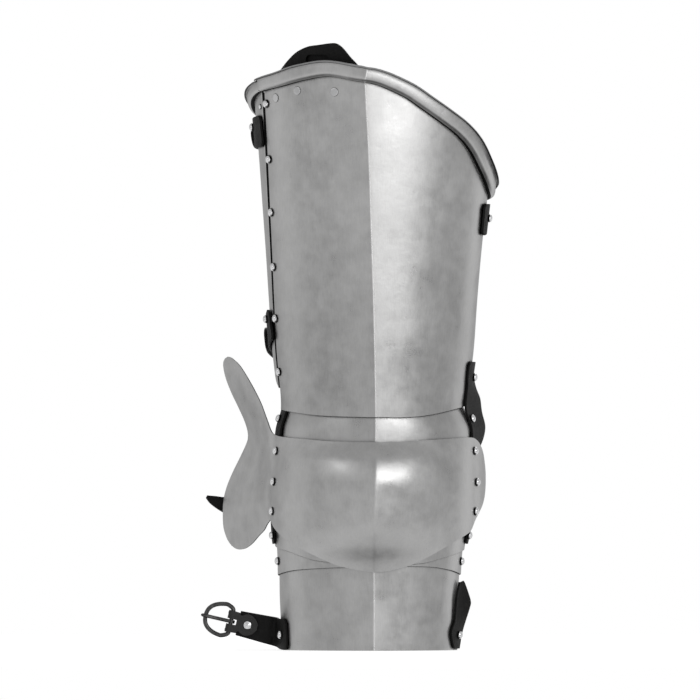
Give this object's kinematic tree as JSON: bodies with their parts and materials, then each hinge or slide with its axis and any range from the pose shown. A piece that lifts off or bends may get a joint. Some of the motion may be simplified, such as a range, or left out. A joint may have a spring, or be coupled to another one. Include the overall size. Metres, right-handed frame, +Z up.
{
  "type": "leg armour cuisse with winged poleyn and demi-greave",
  "caption": "Right leg cuisse in satin steel with a rolled top lip, winged knee cop, articulated lames and buckled leather straps.",
  "frame": {"origin": "centre of the footprint of the bounding box, on the flat lower rim of the demi-greave", "axes": "+Z up the leg, the front ridge faces -Y, the outer side with the wing faces -X, the inner side faces +X"},
  "size_m": [0.2984, 0.2372, 0.6061],
  "materials": {
    "satin_steel": "satin, fine brushed grain with cloudy polish",
    "rivet_steel": "polished domed heads",
    "black_iron": "blackened, semi-matt",
    "black_leather": "semi-matt, dyed black, fine grain"
  },
  "bodies": {
    "cuisse": {"thigh_plate": "satin_steel", "side_plate": "satin_steel", "upper_lame": "satin_steel", "poleyn": "satin_steel", "lower_lame_a": "satin_steel", "lower_lame_b": "satin_steel", "greave_plate": "satin_steel", "hip_tab": "black_leather", "hip_tab_back": "black_leather", "upper_leather_outer": "black_leather", "upper_leather_inner": "black_leather", "lower_leather_outer": "black_leather", "lower_leather_inner": "black_leather", "thigh_upper_buckle_strap": "black_leather", "thigh_upper_tongue_strap": "black_leather", "thigh_lower_buckle_strap": "black_leather", "thigh_lower_tongue_strap": "black_leather", "knee_buckle_strap": "black_leather", "knee_tongue_strap": "black_leather", "calf_buckle_strap": "black_leather", "calf_chape": "black_leather", "calf_tongue_strap": "black_leather", "thigh_upper_buckle": "black_iron", "thigh_lower_buckle": "black_iron", "knee_buckle": "black_iron", "rivet_seam_1": "rivet_steel", "rivet_seam_2": "rivet_steel", "rivet_seam_3": "rivet_steel", "rivet_seam_4": "rivet_steel", "rivet_seam_5": "rivet_steel", "rivet_seam_6": "rivet_steel", "rivet_side_lip": "rivet_steel", "rivet_tab_1": "rivet_steel", "rivet_tab_2": "rivet_steel", "rivet_tab_3": "rivet_steel", "rivet_thigh_upper_outer": "rivet_steel", "rivet_thigh_upper_inner": "rivet_steel", "rivet_thigh_lower_outer": "rivet_steel", "rivet_thigh_lower_inner": "rivet_steel", "rivet_upper_lame_outer": "rivet_steel", "rivet_upper_lame_inner": "rivet_steel", "rivet_poleyn_high_outer": "rivet_steel", "rivet_poleyn_high_inner": "rivet_steel", "rivet_poleyn_middle_outer": "rivet_steel", "rivet_poleyn_middle_inner": "rivet_steel", "rivet_poleyn_low_outer": "rivet_steel", "rivet_poleyn_low_inner": "rivet_steel", "rivet_lame_a_outer": "rivet_steel", "rivet_lame_a_inner": "rivet_steel", "rivet_lame_b_outer": "rivet_steel", "rivet_lame_b_inner": "rivet_steel", "rivet_calf_outer": "rivet_steel", "rivet_calf_inner": "rivet_steel", "rivet_chape": "rivet_steel"},
    "buckle_frame": {"buckle_frame": "black_iron"},
    "buckle_tongue": {"buckle_tongue": "black_iron"}
  },
  "joints": [
    {"name": "frame_hinge", "type": "hinge", "parent": "cuisse", "child": "buckle_frame", "pos_m": [-0.11907, 0.01235, 0.0285], "axis": [0.225, 0, 0.9744], "range_deg": [-70, 40]},
    {"name": "tongue_hinge", "type": "hinge", "parent": "buckle_frame", "child": "buckle_tongue", "pos_m": [-0.11907, 0.01235, 0.0285], "axis": [0.225, 0, 0.9744], "range_deg": [0, 50]}
  ]
}
